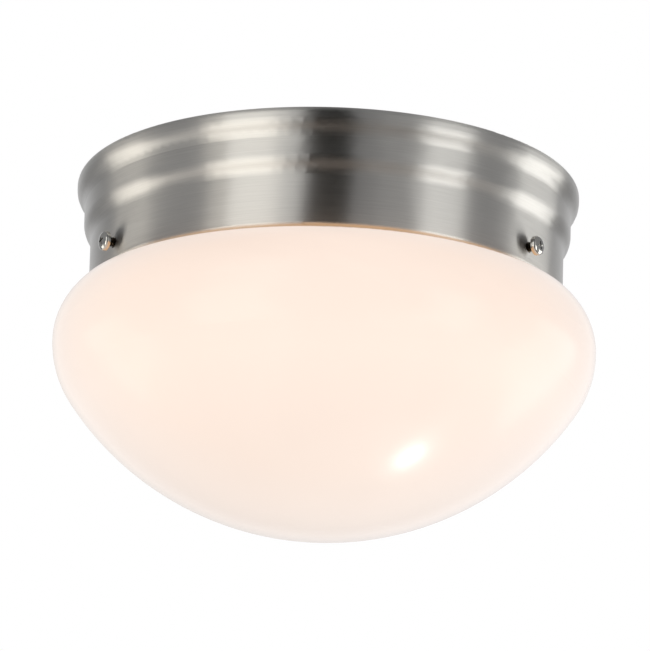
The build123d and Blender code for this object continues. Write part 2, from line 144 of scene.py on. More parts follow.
def glowing_box(name, place, width, height, brightness, colour, towards=aim):
    """A softbox with a hot middle: lamps of one brightness, one inside the other."""
    glow = brightness / len(BOX_SHARES)
    for step, share in enumerate(BOX_SHARES):
        soft_lamp(f"{name}_{step}", place, width * share, height * share, glow, colour, towards=towards)


# Each lamp has its azimuth, elevation and distance, then its width, height and brightness.
glowing_box("lamp_left_front", (-129, -24, 2.6), 1.55, 1.6, 9.6, warm)
soft_lamp("fill_left_front", (-117.5, 10, 2.9), 1.8, 2.0, 0.95, neutral)
glowing_box("lamp_left_side", (167, -19, 2.6), 1.2, 1.6, 7.8, warm)
glowing_box("lamp_right_front", (-31.5, -16, 2.6), 1.05, 1.6, 11.0, neutral)
soft_lamp("fill_right_front", (-48, 8, 2.9), 1.7, 2.2, 0.15, neutral)
glowing_box("lamp_right_side", (26, -14, 2.6), 1.5, 1.9, 9.0, neutral)
glowing_box("lamp_left_low", (168, -40, 2.7), 1.2, 0.8, 2.0, warm)
soft_lamp("lamp_low", (45.7, -58.0, 1.2), 0.22, 0.11, 27.0, shape="ELLIPSE")
soft_lamp("halo_low", (45.7, -58.0, 1.25), 0.5, 0.3, 1.6, shape="ELLIPSE")
glowing_box("floor_lamp", (168, -42, 1.6), 7.5, 7.5, 2.8, neutral, towards=Vector((-1.2, 0.24, -9)))

# %% [markdown]
# ### The floor and the black cards
#
# The floor is a pale sheet. The dark stripe down the middle of the pan is a black card behind the
# camera, with a black runner on the floor from its foot to under the light, and a black mat beside
# it. A spun pan spreads all of them upwards and downwards. The camera itself doesn't see them.

# %% Floor, card, runner and mat
FLOOR_LEVEL, FLOOR_HALF = -2.4, 9
CARD_LOW, CARD_HIGH = -2.3, 9.0
MAT_LIFT = 0.002
black = (0.012, 0.012, 0.012)


def stage_sheet(name, corners, colour, rough):
    """A flat card or floor: four corners, one face, a plain matt paint."""
    bm = bmesh.new()
    bmesh.ops.contextual_create(bm, geom=[bm.verts.new(c) for c in corners])
    mesh = bpy.data.meshes.new(name)
    bm.to_mesh(mesh)
    bm.free()
    paint = bpy.data.materials.new(name)
    paint.use_nodes = True
    shader = paint.node_tree.nodes["Principled BSDF"]
    shader.inputs["Base Color"].default_value = (*colour, 1)
    shader.inputs["Roughness"].default_value = rough
    mesh.materials.append(paint)
    sheet = bpy.data.objects.new(name, mesh)
    scene.collection.objects.link(sheet)
    return sheet


floor_corners = [
    (x * FLOOR_HALF, y * FLOOR_HALF, FLOOR_LEVEL) for x, y in ((-1, -1), (1, -1), (1, 1), (-1, 1))
]
stage_sheet("floor", floor_corners, (0.72, 0.71, 0.70), 0.8)

card_far = 4.2
card_half = card_far * math.tan(math.radians(10.5))
card_azimuth = CAMERA_AZIMUTH + math.radians(0.2)
card_way = Vector((math.cos(card_azimuth), math.sin(card_azimuth), 0))


def card_corner(forward, right, height):
    """A point from how far it lies towards the camera, and how far to the right."""
    return card_way * forward + level * right + Vector((0, 0, height))


upright = [
    card_corner(card_far, side * card_half, height)
    for side, height in ((-1, CARD_LOW), (1, CARD_LOW), (1, CARD_HIGH), (-1, CARD_HIGH))
]
runner = [
    card_corner(forward, right, CARD_LOW)
    for forward, right in ((card_far, -card_half), (card_far, card_half), (0.1, 0.9), (-0.5, -0.4))
]
mat = [
    card_corner(forward, right, CARD_LOW + MAT_LIFT)
    for forward, right in ((1.9, 0.5), (1.9, 2.4), (-0.5, 2.2), (-0.1, 0.8))
]
for name, corners in (("black_card", upright), ("black_runner", runner), ("black_mat", mat)):
    card = stage_sheet(name, corners, black, 0.9)
    card.visible_camera = False
print("card:", round(2 * card_half, 2), "m wide,", CARD_HIGH - CARD_LOW, "m high")

# %% [markdown]
# ### The white background
#
# The camera sees pure white wherever it misses the light, as in the photograph. Everything else sees
# a room: white paper that hangs behind the light, and dim walls on the camera's side. One node asks
# whether a ray comes from the camera, and mixes the two.

# %% Background
def feed(tree, socket, value):
    """Sets a socket to a number, or links an output to it."""
    if isinstance(value, bpy.types.NodeSocket):
        tree.links.new(value, socket)
    else:
        socket.default_value = value


def map_range(tree, value, given, wanted, easing="LINEAR"):
    """Carries a value from a given range to the wanted one."""
    node = tree.nodes.new("ShaderNodeMapRange")
    node.interpolation_type = easing
    for label, limit in zip(("From Min", "From Max", "To Min", "To Max"), (*given, *wanted)):
        feed(tree, node.inputs[label], limit)
    feed(tree, node.inputs["Value"], value)
    return node.outputs["Result"]


world = bpy.data.worlds.new("studio")
scene.world = world
world.use_nodes = True
tree = world.node_tree
tree.nodes.clear()
backdrop, room = (tree.nodes.new("ShaderNodeBackground") for _ in range(2))
backdrop.inputs["Color"].default_value = (1, 1, 1, 1)
backdrop.inputs["Strength"].default_value = 1.0
room.inputs["Color"].default_value = (0.97, 0.98, 1.0, 1)
around = tree.nodes.new("ShaderNodeTexCoord")
behind = tree.nodes.new("ShaderNodeVectorMath")
behind.operation = "DOT_PRODUCT"
behind.inputs[1].default_value = -to_camera
tree.links.new(around.outputs["Generated"], behind.inputs[0])
paper = map_range(tree, behind.outputs["Value"], (0.72, 0.97), (0.3, 0.78), "SMOOTHSTEP")
tree.links.new(paper, room.inputs["Strength"])
seen = tree.nodes.new("ShaderNodeLightPath")
choice = tree.nodes.new("ShaderNodeMixShader")
out = tree.nodes.new("ShaderNodeOutputWorld")
tree.links.new(seen.outputs["Is Camera Ray"], choice.inputs["Fac"])
tree.links.new(room.outputs[0], choice.inputs[1])
tree.links.new(backdrop.outputs[0], choice.inputs[2])
tree.links.new(choice.outputs[0], out.inputs["Surface"])
scene.view_settings.view_transform = "Standard"
print("background nodes:", len(tree.nodes))

# %% [markdown]
# ## Effects shared by several finishes
#
# An effect that turns up in more than one finish is a node group, built once. Mottle is the cloudy
# drift in colour that every plated, glazed or moulded surface has. Reach says whether a point lies
# near the Z axis and above a level. A group hands out masks and heights, and the material decides
# what they do.

# %% Building blocks of node groups
def new_group(name, inputs, outputs):
    group = bpy.data.node_groups.new(name, "ShaderNodeTree")
    for label, value in inputs:
        socket = group.interface.new_socket(label, in_out="INPUT", socket_type="NodeSocketFloat")
        socket.default_value = value
    for label in outputs:
        group.interface.new_socket(label, in_out="OUTPUT", socket_type="NodeSocketFloat")
    return group, group.nodes.new("NodeGroupInput"), group.nodes.new("NodeGroupOutput")


def math_node(tree, operation, *values):
    """One step of arithmetic on numbers or outputs."""
    node = tree.nodes.new("ShaderNodeMath")
    node.operation = operation
    for socket, value in zip(node.inputs, values):
        feed(tree, socket, value)
    return node.outputs[0]


def round_the_axis(tree):
    """Each point's X, Y and Z, and its distance from the Z axis, which is never quite nothing."""
    place = tree.nodes.new("ShaderNodeTexCoord")
    split = tree.nodes.new("ShaderNodeSeparateXYZ")
    tree.links.new(place.outputs["Object"], split.inputs[0])
    x, y, z = split.outputs
    squares = math_node(tree, "MULTIPLY_ADD", x, x, math_node(tree, "MULTIPLY", y, y))
    return x, y, z, math_node(tree, "SQRT", math_node(tree, "MAXIMUM", squares, 1e-8))


# %% Mottle and reach
def mottle_group():
    """Cloudy variation in every direction, with a finer grain on top."""
    group, given, result = new_group("mottle", [("Scale", 60), ("Grain", 900)], ["Mask", "Height"])
    place = group.nodes.new("ShaderNodeTexCoord")
    for source, detail, target in (("Scale", 3, "Mask"), ("Grain", 2, "Height")):
        clouds = group.nodes.new("ShaderNodeTexNoise")
        clouds.inputs["Detail"].default_value = detail
        group.links.new(place.outputs["Object"], clouds.inputs["Vector"])
        group.links.new(given.outputs[source], clouds.inputs["Scale"])
        group.links.new(clouds.outputs["Fac"], result.inputs[target])
    return group


def reach_group():
    """One where a point is nearer to the Z axis than Radius and above Level, with soft limits."""
    group, given, result = new_group("reach", [("Radius", 0.1), ("Level", -1), ("Soft", 0.001)], ["Mask"])
    *_, z, radius = round_the_axis(group)
    inside = math_node(group, "SUBTRACT", given.outputs["Radius"], radius)
    above = math_node(group, "SUBTRACT", z, given.outputs["Level"])
    near = math_node(group, "DIVIDE", math_node(group, "MINIMUM", inside, above), given.outputs["Soft"])
    mask = group.nodes.new("ShaderNodeClamp")
    group.links.new(near, mask.inputs["Value"])
    group.links.new(mask.outputs[0], result.inputs["Mask"])
    return group


mottle, reach = mottle_group(), reach_group()
print("groups:", [group.name for group in bpy.data.node_groups])

# %% [markdown]
# ## Finishes
#
# `finish` starts a material with the plain values of its shader. `spread` lets a mask move a
# roughness between two values, and `tint` does the same with two colours. Constant values stay on
# the shader's own sockets.

# %% Helpers for finishes
MASK_LOW, MASK_HIGH = 0.3, 0.7  # where a noise has nearly all its values


def finish(name, colour, metal=0.0, rough=0.4, **plain):
    """A material with a Principled shader, and that shader."""
    material = bpy.data.materials.new(name)
    material.use_nodes = True
    shader = material.node_tree.nodes["Principled BSDF"]
    shader.inputs["Base Color"].default_value = (*colour, 1)
    shader.inputs["Metallic"].default_value = metal
    shader.inputs["Roughness"].default_value = rough
    for socket, value in plain.items():
        shader.inputs[socket.replace("_", " ")].default_value = value
    return material, shader


def effect(material, group, **values):
    """Places a node group in a material, with its own values."""
    node = material.node_tree.nodes.new("ShaderNodeGroup")
    node.node_tree = group
    for socket, value in values.items():
        node.inputs[socket].default_value = value
    return node


def spread(material, mask, low, high, target):
    """Lets a mask move a socket between two numbers."""
    tree = material.node_tree
    tree.links.new(map_range(tree, mask, (MASK_LOW, MASK_HIGH), (low, high)), target)


def tint(material, mask, low, high, target):
    """Lets a mask move a socket between two colours."""
    ramp = material.node_tree.nodes.new("ShaderNodeValToRGB")
    stops = ramp.color_ramp.elements
    stops[0].position, stops[1].position = MASK_LOW, MASK_HIGH
    stops[0].color, stops[1].color = (*low, 1), (*high, 1)
    material.node_tree.links.new(mask, ramp.inputs["Fac"])
    material.node_tree.links.new(ramp.outputs["Color"], target)


def relief(material, height, shader, distance, strength):
    """Lets a height raise fine marks, this far in metres."""
    bump = material.node_tree.nodes.new("ShaderNodeBump")
    bump.inputs["Strength"].default_value = strength
    bump.inputs["Distance"].default_value = distance
    material.node_tree.links.new(height, bump.inputs["Height"])
    material.node_tree.links.new(bump.outputs["Normal"], shader.inputs["Normal"])


def wear(material, *nodes):
    """Gives the material to CAD nodes as they are."""
    for name in nodes:
        slots = frame["nodes"][name].data.materials
        slots.clear()
        slots.append(material)


# %% [markdown]
# ### Spun nickel
#
# The pan is polished with a belt while it turns, which leaves hair-fine rings, and then plated. The
# rings make the metal shine more across them than along them, which is what anisotropy means. The
# tangent is radial about Z, so the shine spreads up and down the bands on the whole pan.

# %% Grain round the Z axis
def spun_grain_group():
    """Fine scratches round the Z axis: noise that changes quickly across them and slowly along."""
    group, given, result = new_group(
        "spun_grain", [("Lines", 2600), ("Length", 5), ("Depth", 1)], ["Mask", "Height"]
    )
    lines, length = given.outputs["Lines"], given.outputs["Length"]
    x, y, z, radius = round_the_axis(group)
    across = group.nodes.new("ShaderNodeCombineXYZ")
    east, north = (math_node(group, "DIVIDE", side, radius) for side in (x, y))
    for socket, value, scale in zip(across.inputs, (radius, z, east), (lines, lines, length)):
        group.links.new(math_node(group, "MULTIPLY", value, scale), socket)
    scratches = group.nodes.new("ShaderNodeTexNoise")
    scratches.noise_dimensions = "4D"
    scratches.inputs["Scale"].default_value = 1
    scratches.inputs["Detail"].default_value = 3
    scratches.inputs["Roughness"].default_value = 0.62
    group.links.new(across.outputs[0], scratches.inputs["Vector"])
    group.links.new(math_node(group, "MULTIPLY", north, length), scratches.inputs["W"])
    mask = scratches.outputs["Fac"]
    group.links.new(mask, result.inputs["Mask"])
    group.links.new(math_node(group, "MULTIPLY", mask, given.outputs["Depth"]), result.inputs["Height"])
    return group


spun_grain = spun_grain_group()
print("grain nodes:", len(spun_grain.nodes))

# %% The pan's finish
nickel, shader = finish(
    "spun_nickel", (0.56, 0.545, 0.52), metal=1.0, rough=0.36, Anisotropic=1.0, Anisotropic_Rotation=0.25
)
grain = effect(nickel, spun_grain, Lines=2600, Length=5)
spread(nickel, grain.outputs["Mask"], 0.32, 0.40, shader.inputs["Roughness"])
tint(nickel, grain.outputs["Mask"], (0.62, 0.605, 0.58), (0.69, 0.675, 0.65), shader.inputs["Base Color"])
relief(nickel, grain.outputs["Height"], shader, 0.00002, 0.35)
round_z = nickel.node_tree.nodes.new("ShaderNodeTangent")
round_z.direction_type = "RADIAL"
round_z.axis = "Z"
nickel.node_tree.links.new(round_z.outputs[0], shader.inputs["Tangent"])
wear(nickel, "canopy_pan")

# Normals weighted by the size of each face keep long thin faces from showing on the steps.
even = frame["nodes"]["canopy_pan"].modifiers.new("even_normals", "WEIGHTED_NORMAL")
even.weight = 50
even.keep_sharp = True

# %% [markdown]
# ### Opal glass, lit from inside
#
# White opal glass scatters the bulbs' light so well that the whole shade glows. Real volume
# scattering would be slow and noisy, so the glow is a weak emission. It is brighter near the two
# bulbs, paler toward the outline, where one looks along the skin of the glass, and weaker at the
# bottom, which the floor lights too. A thin darker line ends it at the very edge. On the ledge under
# the pan it is orange, because the light that leaks out there has gone through the clear inner
# layer. All of this goes into the colour of the emission, and its strength stays a plain number. A
# gloss coat gives the soft reflections.

# %% Glow of the two bulbs
def bulb_glow_group():
    """One near a bulb, and none a hand's width away from both."""
    group, given, result = new_group("bulb_glow", [("Near", 0.05), ("Far", 0.13)], ["Mask"])
    place = group.nodes.new("ShaderNodeTexCoord")
    reaches = []
    for name in ("bulb_glass_left", "bulb_glass_right"):
        low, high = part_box(name)
        away = group.nodes.new("ShaderNodeVectorMath")
        away.operation = "DISTANCE"
        away.inputs[1].default_value = (low + high) / 2
        group.links.new(place.outputs["Object"], away.inputs[0])
        reaches.append(away.outputs["Value"])
    nearest = math_node(group, "SMOOTH_MIN", *reaches, 0.06)
    limits = (given.outputs["Near"], given.outputs["Far"])
    group.links.new(map_range(group, nearest, limits, (1, 0), "SMOOTHSTEP"), result.inputs["Mask"])
    return group


bulb_glow = bulb_glow_group()
print("glow nodes:", len(bulb_glow.nodes))

# %% The shade's finish
def blend(material, mask, colour, target):
    """Where the mask is one, puts one colour in place of what drives a socket."""
    tree = material.node_tree
    mix = tree.nodes.new("ShaderNodeMix")
    mix.data_type = "RGBA"
    factor, first, second = (mix.inputs[index] for index in (0, 6, 7))
    tree.links.new(mask, factor)
    tree.links.new(target.links[0].from_socket, first)
    second.default_value = (*colour, 1)
    tree.links.new(mix.outputs[2], target)


def dim(material, strength, target):
    """Weakens the colour that drives a socket."""
    tree = material.node_tree
    scaled = tree.nodes.new("ShaderNodeVectorMath")
    scaled.operation = "SCALE"
    tree.links.new(target.links[0].from_socket, scaled.inputs[0])
    tree.links.new(strength, scaled.inputs["Scale"])
    tree.links.new(scaled.outputs[0], target)


opal, shader = finish(
    "opal_glass", (0.28, 0.27, 0.27), rough=0.5, Specular_IOR_Level=0.0, Coat_Weight=0.7,
    Coat_Roughness=0.2, Coat_IOR=1.34, Emission_Strength=1.0,
)
clouds = effect(opal, mottle, Scale=25, Grain=400)
spread(opal, clouds.outputs["Mask"], 0.45, 0.55, shader.inputs["Roughness"])
tree, light = opal.node_tree, shader.inputs["Emission Color"]
glow = effect(opal, bulb_glow, Near=0.05, Far=0.11)
tint(opal, glow.outputs["Mask"], (0.87, 0.695, 0.585), (0.92, 0.74, 0.635), light)
edge = tree.nodes.new("ShaderNodeLayerWeight")
edge.inputs["Blend"].default_value = 0.5
facing = edge.outputs["Facing"]
blend(opal, map_range(tree, facing, (0.35, 0.9), (0.0, 0.8)), (0.82, 0.74, 0.69), light)
ledge = effect(opal, reach, Radius=0.1056, Level=-0.0575, Soft=0.002)
blend(opal, ledge.outputs["Mask"], (1.0, 0.60, 0.32), light)

slant = map_range(tree, facing, (0.45, 0.95), (0.93, 0.98))
outline = map_range(tree, facing, (0.80, 0.95), (1.0, 0.80))
height = effect(opal, reach, Radius=1.0, Level=-0.162, Soft=0.057)
lower = math_node(tree, "MULTIPLY_ADD", height.outputs["Mask"], 0.18, 0.82)
dim(opal, math_node(tree, "MULTIPLY", math_node(tree, "MULTIPLY", slant, lower), outline), light)
wear(opal, "glass_shade")
print("opal nodes:", len(tree.nodes))

# %% [markdown]
# ### Finishes of the hidden parts
#
# The parts behind the glass and above the pan show when the light is taken down. Zinc plate is a
# cloudy bluish grey, porcelain is a thick glaze over white clay, the screw shells are brass, and the
# bulbs are frosted and glow. All of them drift a little in colour and gloss, so they share one
# recipe with different values.

# %% Zinc, spring steel, brass and aluminium
def clouded(name, low, high, rough_low, rough_high, scale=120, grain_scale=1500, bump=0.00001, **plain):
    """A finish whose colour and roughness drift in soft clouds, with a fine skin."""
    material, shader = finish(name, low, **plain)
    clouds = effect(material, mottle, Scale=scale, Grain=grain_scale)
    tint(material, clouds.outputs["Mask"], low, high, shader.inputs["Base Color"])
    spread(material, clouds.outputs["Mask"], rough_low, rough_high, shader.inputs["Roughness"])
    relief(material, clouds.outputs["Height"], shader, bump, 0.4)
    return material


def plated(*looks, scale=90, bump=0.00001):
    """The same in bare metal."""
    return clouded(*looks, scale=scale, grain_scale=1800, bump=bump, metal=1.0)


zinc = plated("zinc_plate", (0.50, 0.52, 0.54), (0.66, 0.68, 0.70), 0.28, 0.45, scale=140)
spring_steel = plated("spring_steel", (0.34, 0.33, 0.32), (0.44, 0.43, 0.42), 0.3, 0.45)
bright_nickel = plated("bright_nickel", (0.54, 0.525, 0.50), (0.66, 0.645, 0.61), 0.08, 0.15, scale=300)
shell_brass = plated("shell_brass", (0.72, 0.56, 0.28), (0.82, 0.68, 0.38), 0.2, 0.32)
contact_brass = plated("contact_brass", (0.74, 0.55, 0.25), (0.84, 0.66, 0.34), 0.18, 0.28)
cap_aluminium = plated("cap_aluminium", (0.70, 0.70, 0.71), (0.80, 0.80, 0.81), 0.24, 0.36)
rivet_aluminium = plated("rivet_aluminium", (0.62, 0.62, 0.64), (0.74, 0.74, 0.76), 0.3, 0.42)
solder = plated("solder", (0.46, 0.46, 0.48), (0.62, 0.62, 0.64), 0.3, 0.5, scale=500, bump=0.00006)
wear(zinc, "mounting_strap", "socket_bracket_left", "socket_bracket_right")
wear(spring_steel, "nut_plates")
wear(contact_brass, "center_contact_left", "center_contact_right")
wear(rivet_aluminium, "bracket_rivets")
wear(solder, "bulb_tip_left", "bulb_tip_right")
print("finishes so far:", len(bpy.data.materials))

# %% Porcelain, bulb glass, plastics and paint
porcelain = clouded(
    "porcelain", (0.80, 0.79, 0.75), (0.87, 0.86, 0.83), 0.1, 0.2, scale=60, Coat_Weight=1.0
)
frosted = clouded(
    "frosted_glass", (0.90, 0.89, 0.87), (0.94, 0.93, 0.91), 0.42, 0.55, scale=300, bump=0.000004,
    Emission_Color=(1.0, 0.80, 0.60, 1), Emission_Strength=1.2,
)
black_glass = clouded(
    "black_glass", (0.012, 0.012, 0.014), (0.02, 0.02, 0.022), 0.08, 0.16, Coat_Weight=1.0
)
black_nylon = clouded(
    "black_nylon", (0.018, 0.018, 0.018), (0.03, 0.03, 0.03), 0.42, 0.58, bump=0.00003
)
black_insulation = clouded(
    "black_insulation", (0.012, 0.012, 0.012), (0.022, 0.022, 0.022), 0.36, 0.5
)
white_insulation = clouded("white_insulation", (0.76, 0.76, 0.73), (0.84, 0.84, 0.81), 0.36, 0.5)
green_paint = clouded(
    "green_paint", (0.02, 0.17, 0.05), (0.03, 0.23, 0.08), 0.3, 0.42, Coat_Weight=0.4
)
wear(porcelain, "socket_body_left", "socket_body_right")
wear(frosted, "bulb_glass_left", "bulb_glass_right")
wear(black_glass, "bulb_insulator_left", "bulb_insulator_right")
wear(black_nylon, "wire_bushing")
print("finishes:", len(bpy.data.materials))

# %% [markdown]
# ## Shaping new pieces
#
# A new piece is shaped round the Z axis, where it is easy to think about, and then the finished
# mesh is carried to its place. Its object stays at the origin, like the CAD nodes.

# %% Helpers for every piece
def add_piece(name, bm, material, body, stands_for, place=None):
    """Turns a bmesh into a piece that rides on a body."""
    if place is not None:
        bmesh.ops.transform(bm, matrix=place, verts=bm.verts)
    mesh = bpy.data.meshes.new(name)
    bm.to_mesh(mesh)
    bm.free()
    mesh.materials.append(material)
    piece = bpy.data.objects.new(name, mesh)
    scene.collection.objects.link(piece)
    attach(piece, body)
    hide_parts(*stands_for)
    return piece


def shade_round(piece, degrees=32):
    """Smooth shading that keeps creases sharper than this angle."""
    for face in piece.data.polygons:
        face.use_smooth = True
    piece.data.set_sharp_from_angle(angle=math.radians(degrees))


def spun(outline, steps=48):
    """Spins an outline of (radius, height) round Z into a closed shape."""
    bm = bmesh.new()
    points = [bm.verts.new((radius, 0, height)) for radius, height in outline]
    edges = [bm.edges.new(pair) for pair in zip(points, points[1:])]
    bmesh.ops.spin(
        bm, geom=points + edges, cent=(0, 0, 0), axis=(0, 0, 1), angle=math.tau, steps=steps, use_merge=True
    )
    bmesh.ops.remove_doubles(bm, verts=bm.verts, dist=1e-7)
    bmesh.ops.recalc_face_normals(bm, faces=bm.faces)
    return bm


def box_middle(low, high):
    """The middle of a node's box."""
    return (low + high) / 2


# %% [markdown]
# ## Screws with real threads
#
# The solids have plain shanks. A thread is a helix, and the easy way to one is to spin a single
# tooth's outline while it climbs a little at each step, so that every turn lands where the last one
# ended. Two level cuts trim it. The cross in the head is cut with a Boolean, as a punch makes it.

# %% A threaded skin
def helix(wave, pitch, start, end, steps):
    """A threaded skin round Z: one pitch of its outline, spun while it climbs, then cut level.
    The wave is a list of (share of the pitch, radius)."""
    bm = bmesh.new()
    below = start - 1.5 * pitch
    points = [bm.verts.new((radius, 0, below + share * pitch)) for share, radius in wave]
    edges = [bm.edges.new(pair) for pair in zip(points, points[1:])]
    turns = math.ceil((end - start) / pitch) + 2
    bmesh.ops.spin(
        bm, geom=points + edges, cent=(0, 0, 0), axis=(0, 0, 1), angle=math.tau * turns,
        steps=steps * turns, dvec=(0, 0, pitch / steps),
    )
    bmesh.ops.remove_doubles(bm, verts=bm.verts, dist=1e-6)
    for height, side in ((start, "clear_inner"), (end, "clear_outer")):
        bmesh.ops.bisect_plane(
            bm, geom=bm.verts[:] + bm.edges[:] + bm.faces[:], plane_co=(0, 0, height),
            plane_no=(0, 0, 1), **{side: True},
        )
    return bm


def rim_at(bm, height):
    """The open edges that lie at one height."""
    return [e for e in bm.edges if e.is_boundary and all(abs(v.co.z - height) < 1e-5 for v in e.verts)]


def draw_to(bm, edges, radius, height):
    """Extrudes an open rim to a circle of another radius and height, and returns its edges."""
    made = bmesh.ops.extrude_edge_only(bm, edges=edges)["geom"]
    for vert in (g for g in made if isinstance(g, bmesh.types.BMVert)):
        flat = Vector((vert.co.x, vert.co.y, 0)).normalized() * radius
        vert.co = (flat.x, flat.y, height)
    return [g for g in made if isinstance(g, bmesh.types.BMEdge) and g.is_boundary]


def draw_through(bm, start, *rings):
    """Draws the open rim at one height through a row of (radius, height) rings."""
    edges = rim_at(bm, start)
    for radius, height in rings:
        edges = draw_to(bm, edges, radius, height)


# %% Joining and carving
def joined(*shapes):
    """Puts several bmeshes in one."""
    whole = shapes[0]
    for shape in shapes[1:]:
        mesh = bpy.data.meshes.new("joining")
        shape.to_mesh(mesh)
        shape.free()
        whole.from_mesh(mesh)
        bpy.data.meshes.remove(mesh)
    return whole


def carved(bm, cutter):
    """Cuts one closed shape out of another with a Boolean modifier."""
    objects = []
    for shape in (bm, cutter):
        mesh = bpy.data.meshes.new("carving")
        shape.to_mesh(mesh)
        shape.free()
        objects.append(bpy.data.objects.new("carving", mesh))
        scene.collection.objects.link(objects[-1])
    cut = objects[0].modifiers.new("cut", "BOOLEAN")
    cut.object, cut.solver, cut.use_self = objects[1], "EXACT", True
    bpy.context.view_layer.update()
    finished = objects[0].evaluated_get(bpy.context.evaluated_depsgraph_get())
    result = bpy.data.meshes.new_from_object(finished)
    whole = bmesh.new()
    whole.from_mesh(result)
    for piece in objects:
        bpy.data.objects.remove(piece)
    return whole


# %% Punches for the heads
RECESS_WIDTH = 0.0009
CROSS_SPAN, CROSS_DEPTH = 0.0048, 0.0013


def cross_punch(top):
    """Two crossed wedges that narrow towards their tips, set into a head of this height."""
    bm = bmesh.new()
    for turned in (0, math.pi / 2):
        made = bmesh.ops.create_cube(bm, size=1)["verts"]
        bmesh.ops.scale(bm, verts=made, vec=(CROSS_SPAN, RECESS_WIDTH, 2 * CROSS_DEPTH))
        deep = [v for v in made if v.co.z < 0]
        bmesh.ops.scale(bm, verts=deep, vec=(0.55, 0.8, 1))
        bmesh.ops.rotate(bm, verts=made, matrix=Matrix.Rotation(turned, 3, "Z"))
        bmesh.ops.translate(bm, verts=made, vec=(0, 0, top))
    return bm


def slot_punch(length, depth, top):
    """A straight blade, set into a head of this height."""
    bm = bmesh.new()
    made = bmesh.ops.create_cube(bm, size=1)["verts"]
    bmesh.ops.scale(bm, verts=made, vec=(length, RECESS_WIDTH, 2 * depth))
    bmesh.ops.translate(bm, verts=made, vec=(0, 0, top))
    return bm


# %% One screw, for every place that has one
THREAD_PITCH = 0.0008
THREAD_DEPTH = 0.6 * THREAD_PITCH
THREAD_STEPS = 28
TIP_LENGTH, TIP_SHARE = 0.0005, 0.62
NECK_OVERLAP = 0.0002  # how far the shank reaches into the head


def screw(shank_radius, shank_length, head_outline, punch=None):
    """A screw along Z. Its head stands on z = 0 and its shank hangs below."""
    root = shank_radius - THREAD_DEPTH
    wave = [(0, root), (0.12, root), (0.44, shank_radius), (0.56, shank_radius), (0.88, root), (1, root)]
    thread_end = -shank_length + TIP_LENGTH
    shank = helix(wave, THREAD_PITCH, thread_end, NECK_OVERLAP, THREAD_STEPS)
    draw_through(shank, thread_end, (TIP_SHARE * shank_radius, -shank_length))
    bmesh.ops.holes_fill(shank, edges=[e for e in shank.edges if e.is_boundary])
    bmesh.ops.recalc_face_normals(shank, faces=shank.faces)
    head = spun(head_outline)
    if punch is not None:
        head = carved(head, punch)
    return joined(head, shank)


def pan_head(radius, height):
    """A round head: straight edge, broken corner below, dome above."""
    corner, edge = 0.0002, 0.45 * height
    outline = [(0, 0), (radius - corner, 0), (radius, corner), (radius, edge)]
    for degrees in range(12, 91, 13):
        turned = math.radians(degrees)
        dome = edge + (height - edge) * math.sin(turned) ** 0.9
        outline.append((radius * math.cos(turned) ** 0.62, dome))
    outline[-1] = (0, height)
    return outline


# %% [markdown]
# ### The three thumbscrews
#
# They go through the fitter band and end just short of the neck of the glass. The photograph shows
# bright nickel pan heads with a cross recess, about 8.5 mm across, that stand well off the band.
# Their shanks and the undersides of their heads are painted nearly black, as painted shade for the dark gap
# under the head that they face. Two masks in their finish say where the painted shade goes.

# %% Painted shade under the heads
def inward_group():
    """One on faces that look toward the Z axis."""
    group, given, result = new_group("inward", [("From", 0.3), ("To", 0.6)], ["Mask"])
    place = group.nodes.new("ShaderNodeTexCoord")
    flat, toward, facing = (group.nodes.new("ShaderNodeVectorMath") for _ in range(3))
    flat.operation, toward.operation, facing.operation = "MULTIPLY", "NORMALIZE", "DOT_PRODUCT"
    flat.inputs[1].default_value = (-1, -1, 0)
    group.links.new(place.outputs["Object"], flat.inputs[0])
    group.links.new(flat.outputs["Vector"], toward.inputs[0])
    group.links.new(toward.outputs["Vector"], facing.inputs[0])
    group.links.new(place.outputs["Normal"], facing.inputs[1])
    limits = (given.outputs["From"], given.outputs["To"])
    group.links.new(map_range(group, facing.outputs["Value"], limits, (0, 1)), result.inputs["Mask"])
    return group


head_height = 0.003
low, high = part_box("thumbscrew_rear")
screw_colour = bright_nickel.node_tree.nodes["Principled BSDF"].inputs["Base Color"]
# Painted shade: the shank, in the dark gap under the head, is painted nearly black.
shank = effect(bright_nickel, reach, Radius=high.y - head_height, Soft=0.0003)
blend(bright_nickel, shank.outputs["Mask"], (0.09, 0.07, 0.05), screw_colour)
# Painted shade: the undersides of the heads, which face the band, are painted nearly black.
underside_shade_mask = effect(bright_nickel, inward_group(), From=0.3, To=0.6)
blend(bright_nickel, underside_shade_mask.outputs["Mask"], (0.07, 0.055, 0.04), screw_colour)
print("heads start at radius", round(high.y - head_height, 5))

# %% Thumbscrews
SCREW_RADIUS = 0.00205
CROSS_TURN = math.radians(12)
screw_reach = high.y - low.y
head_radius = (high.x - low.x) / 2
screw_level = box_middle(low, high).z
for name, azimuth in (("rear", 90), ("left", 210), ("right", 330)):
    head = pan_head(head_radius, head_height)
    shape = screw(SCREW_RADIUS, screw_reach - head_height, head, cross_punch(head_height))
    heading = math.radians(azimuth)
    outwards = Matrix.Rotation(heading, 4, "Z") @ Matrix.Rotation(math.radians(90), 4, "Y")
    stand = Vector((math.cos(heading), math.sin(heading), 0)) * (high.y - head_height)
    stand.z = screw_level
    piece = add_piece(
        f"thumbscrew_threaded_{name}", shape, bright_nickel, f"thumbscrew_{name}",
        [f"thumbscrew_{name}"],
        Matrix.Translation(stand) @ outwards @ Matrix.Rotation(CROSS_TURN, 4, "Z"),
    )
    shade_round(piece)
print("thumbscrew length", round(screw_reach, 5), "head radius", round(head_radius, 5))

# %% [markdown]
# ### Screws inside the light
#
# Two pan-head screws come up through the keyholes into the strap, four slotted screws hold the
# porcelain to its brackets, and a green hexagon screw takes the earth wire.

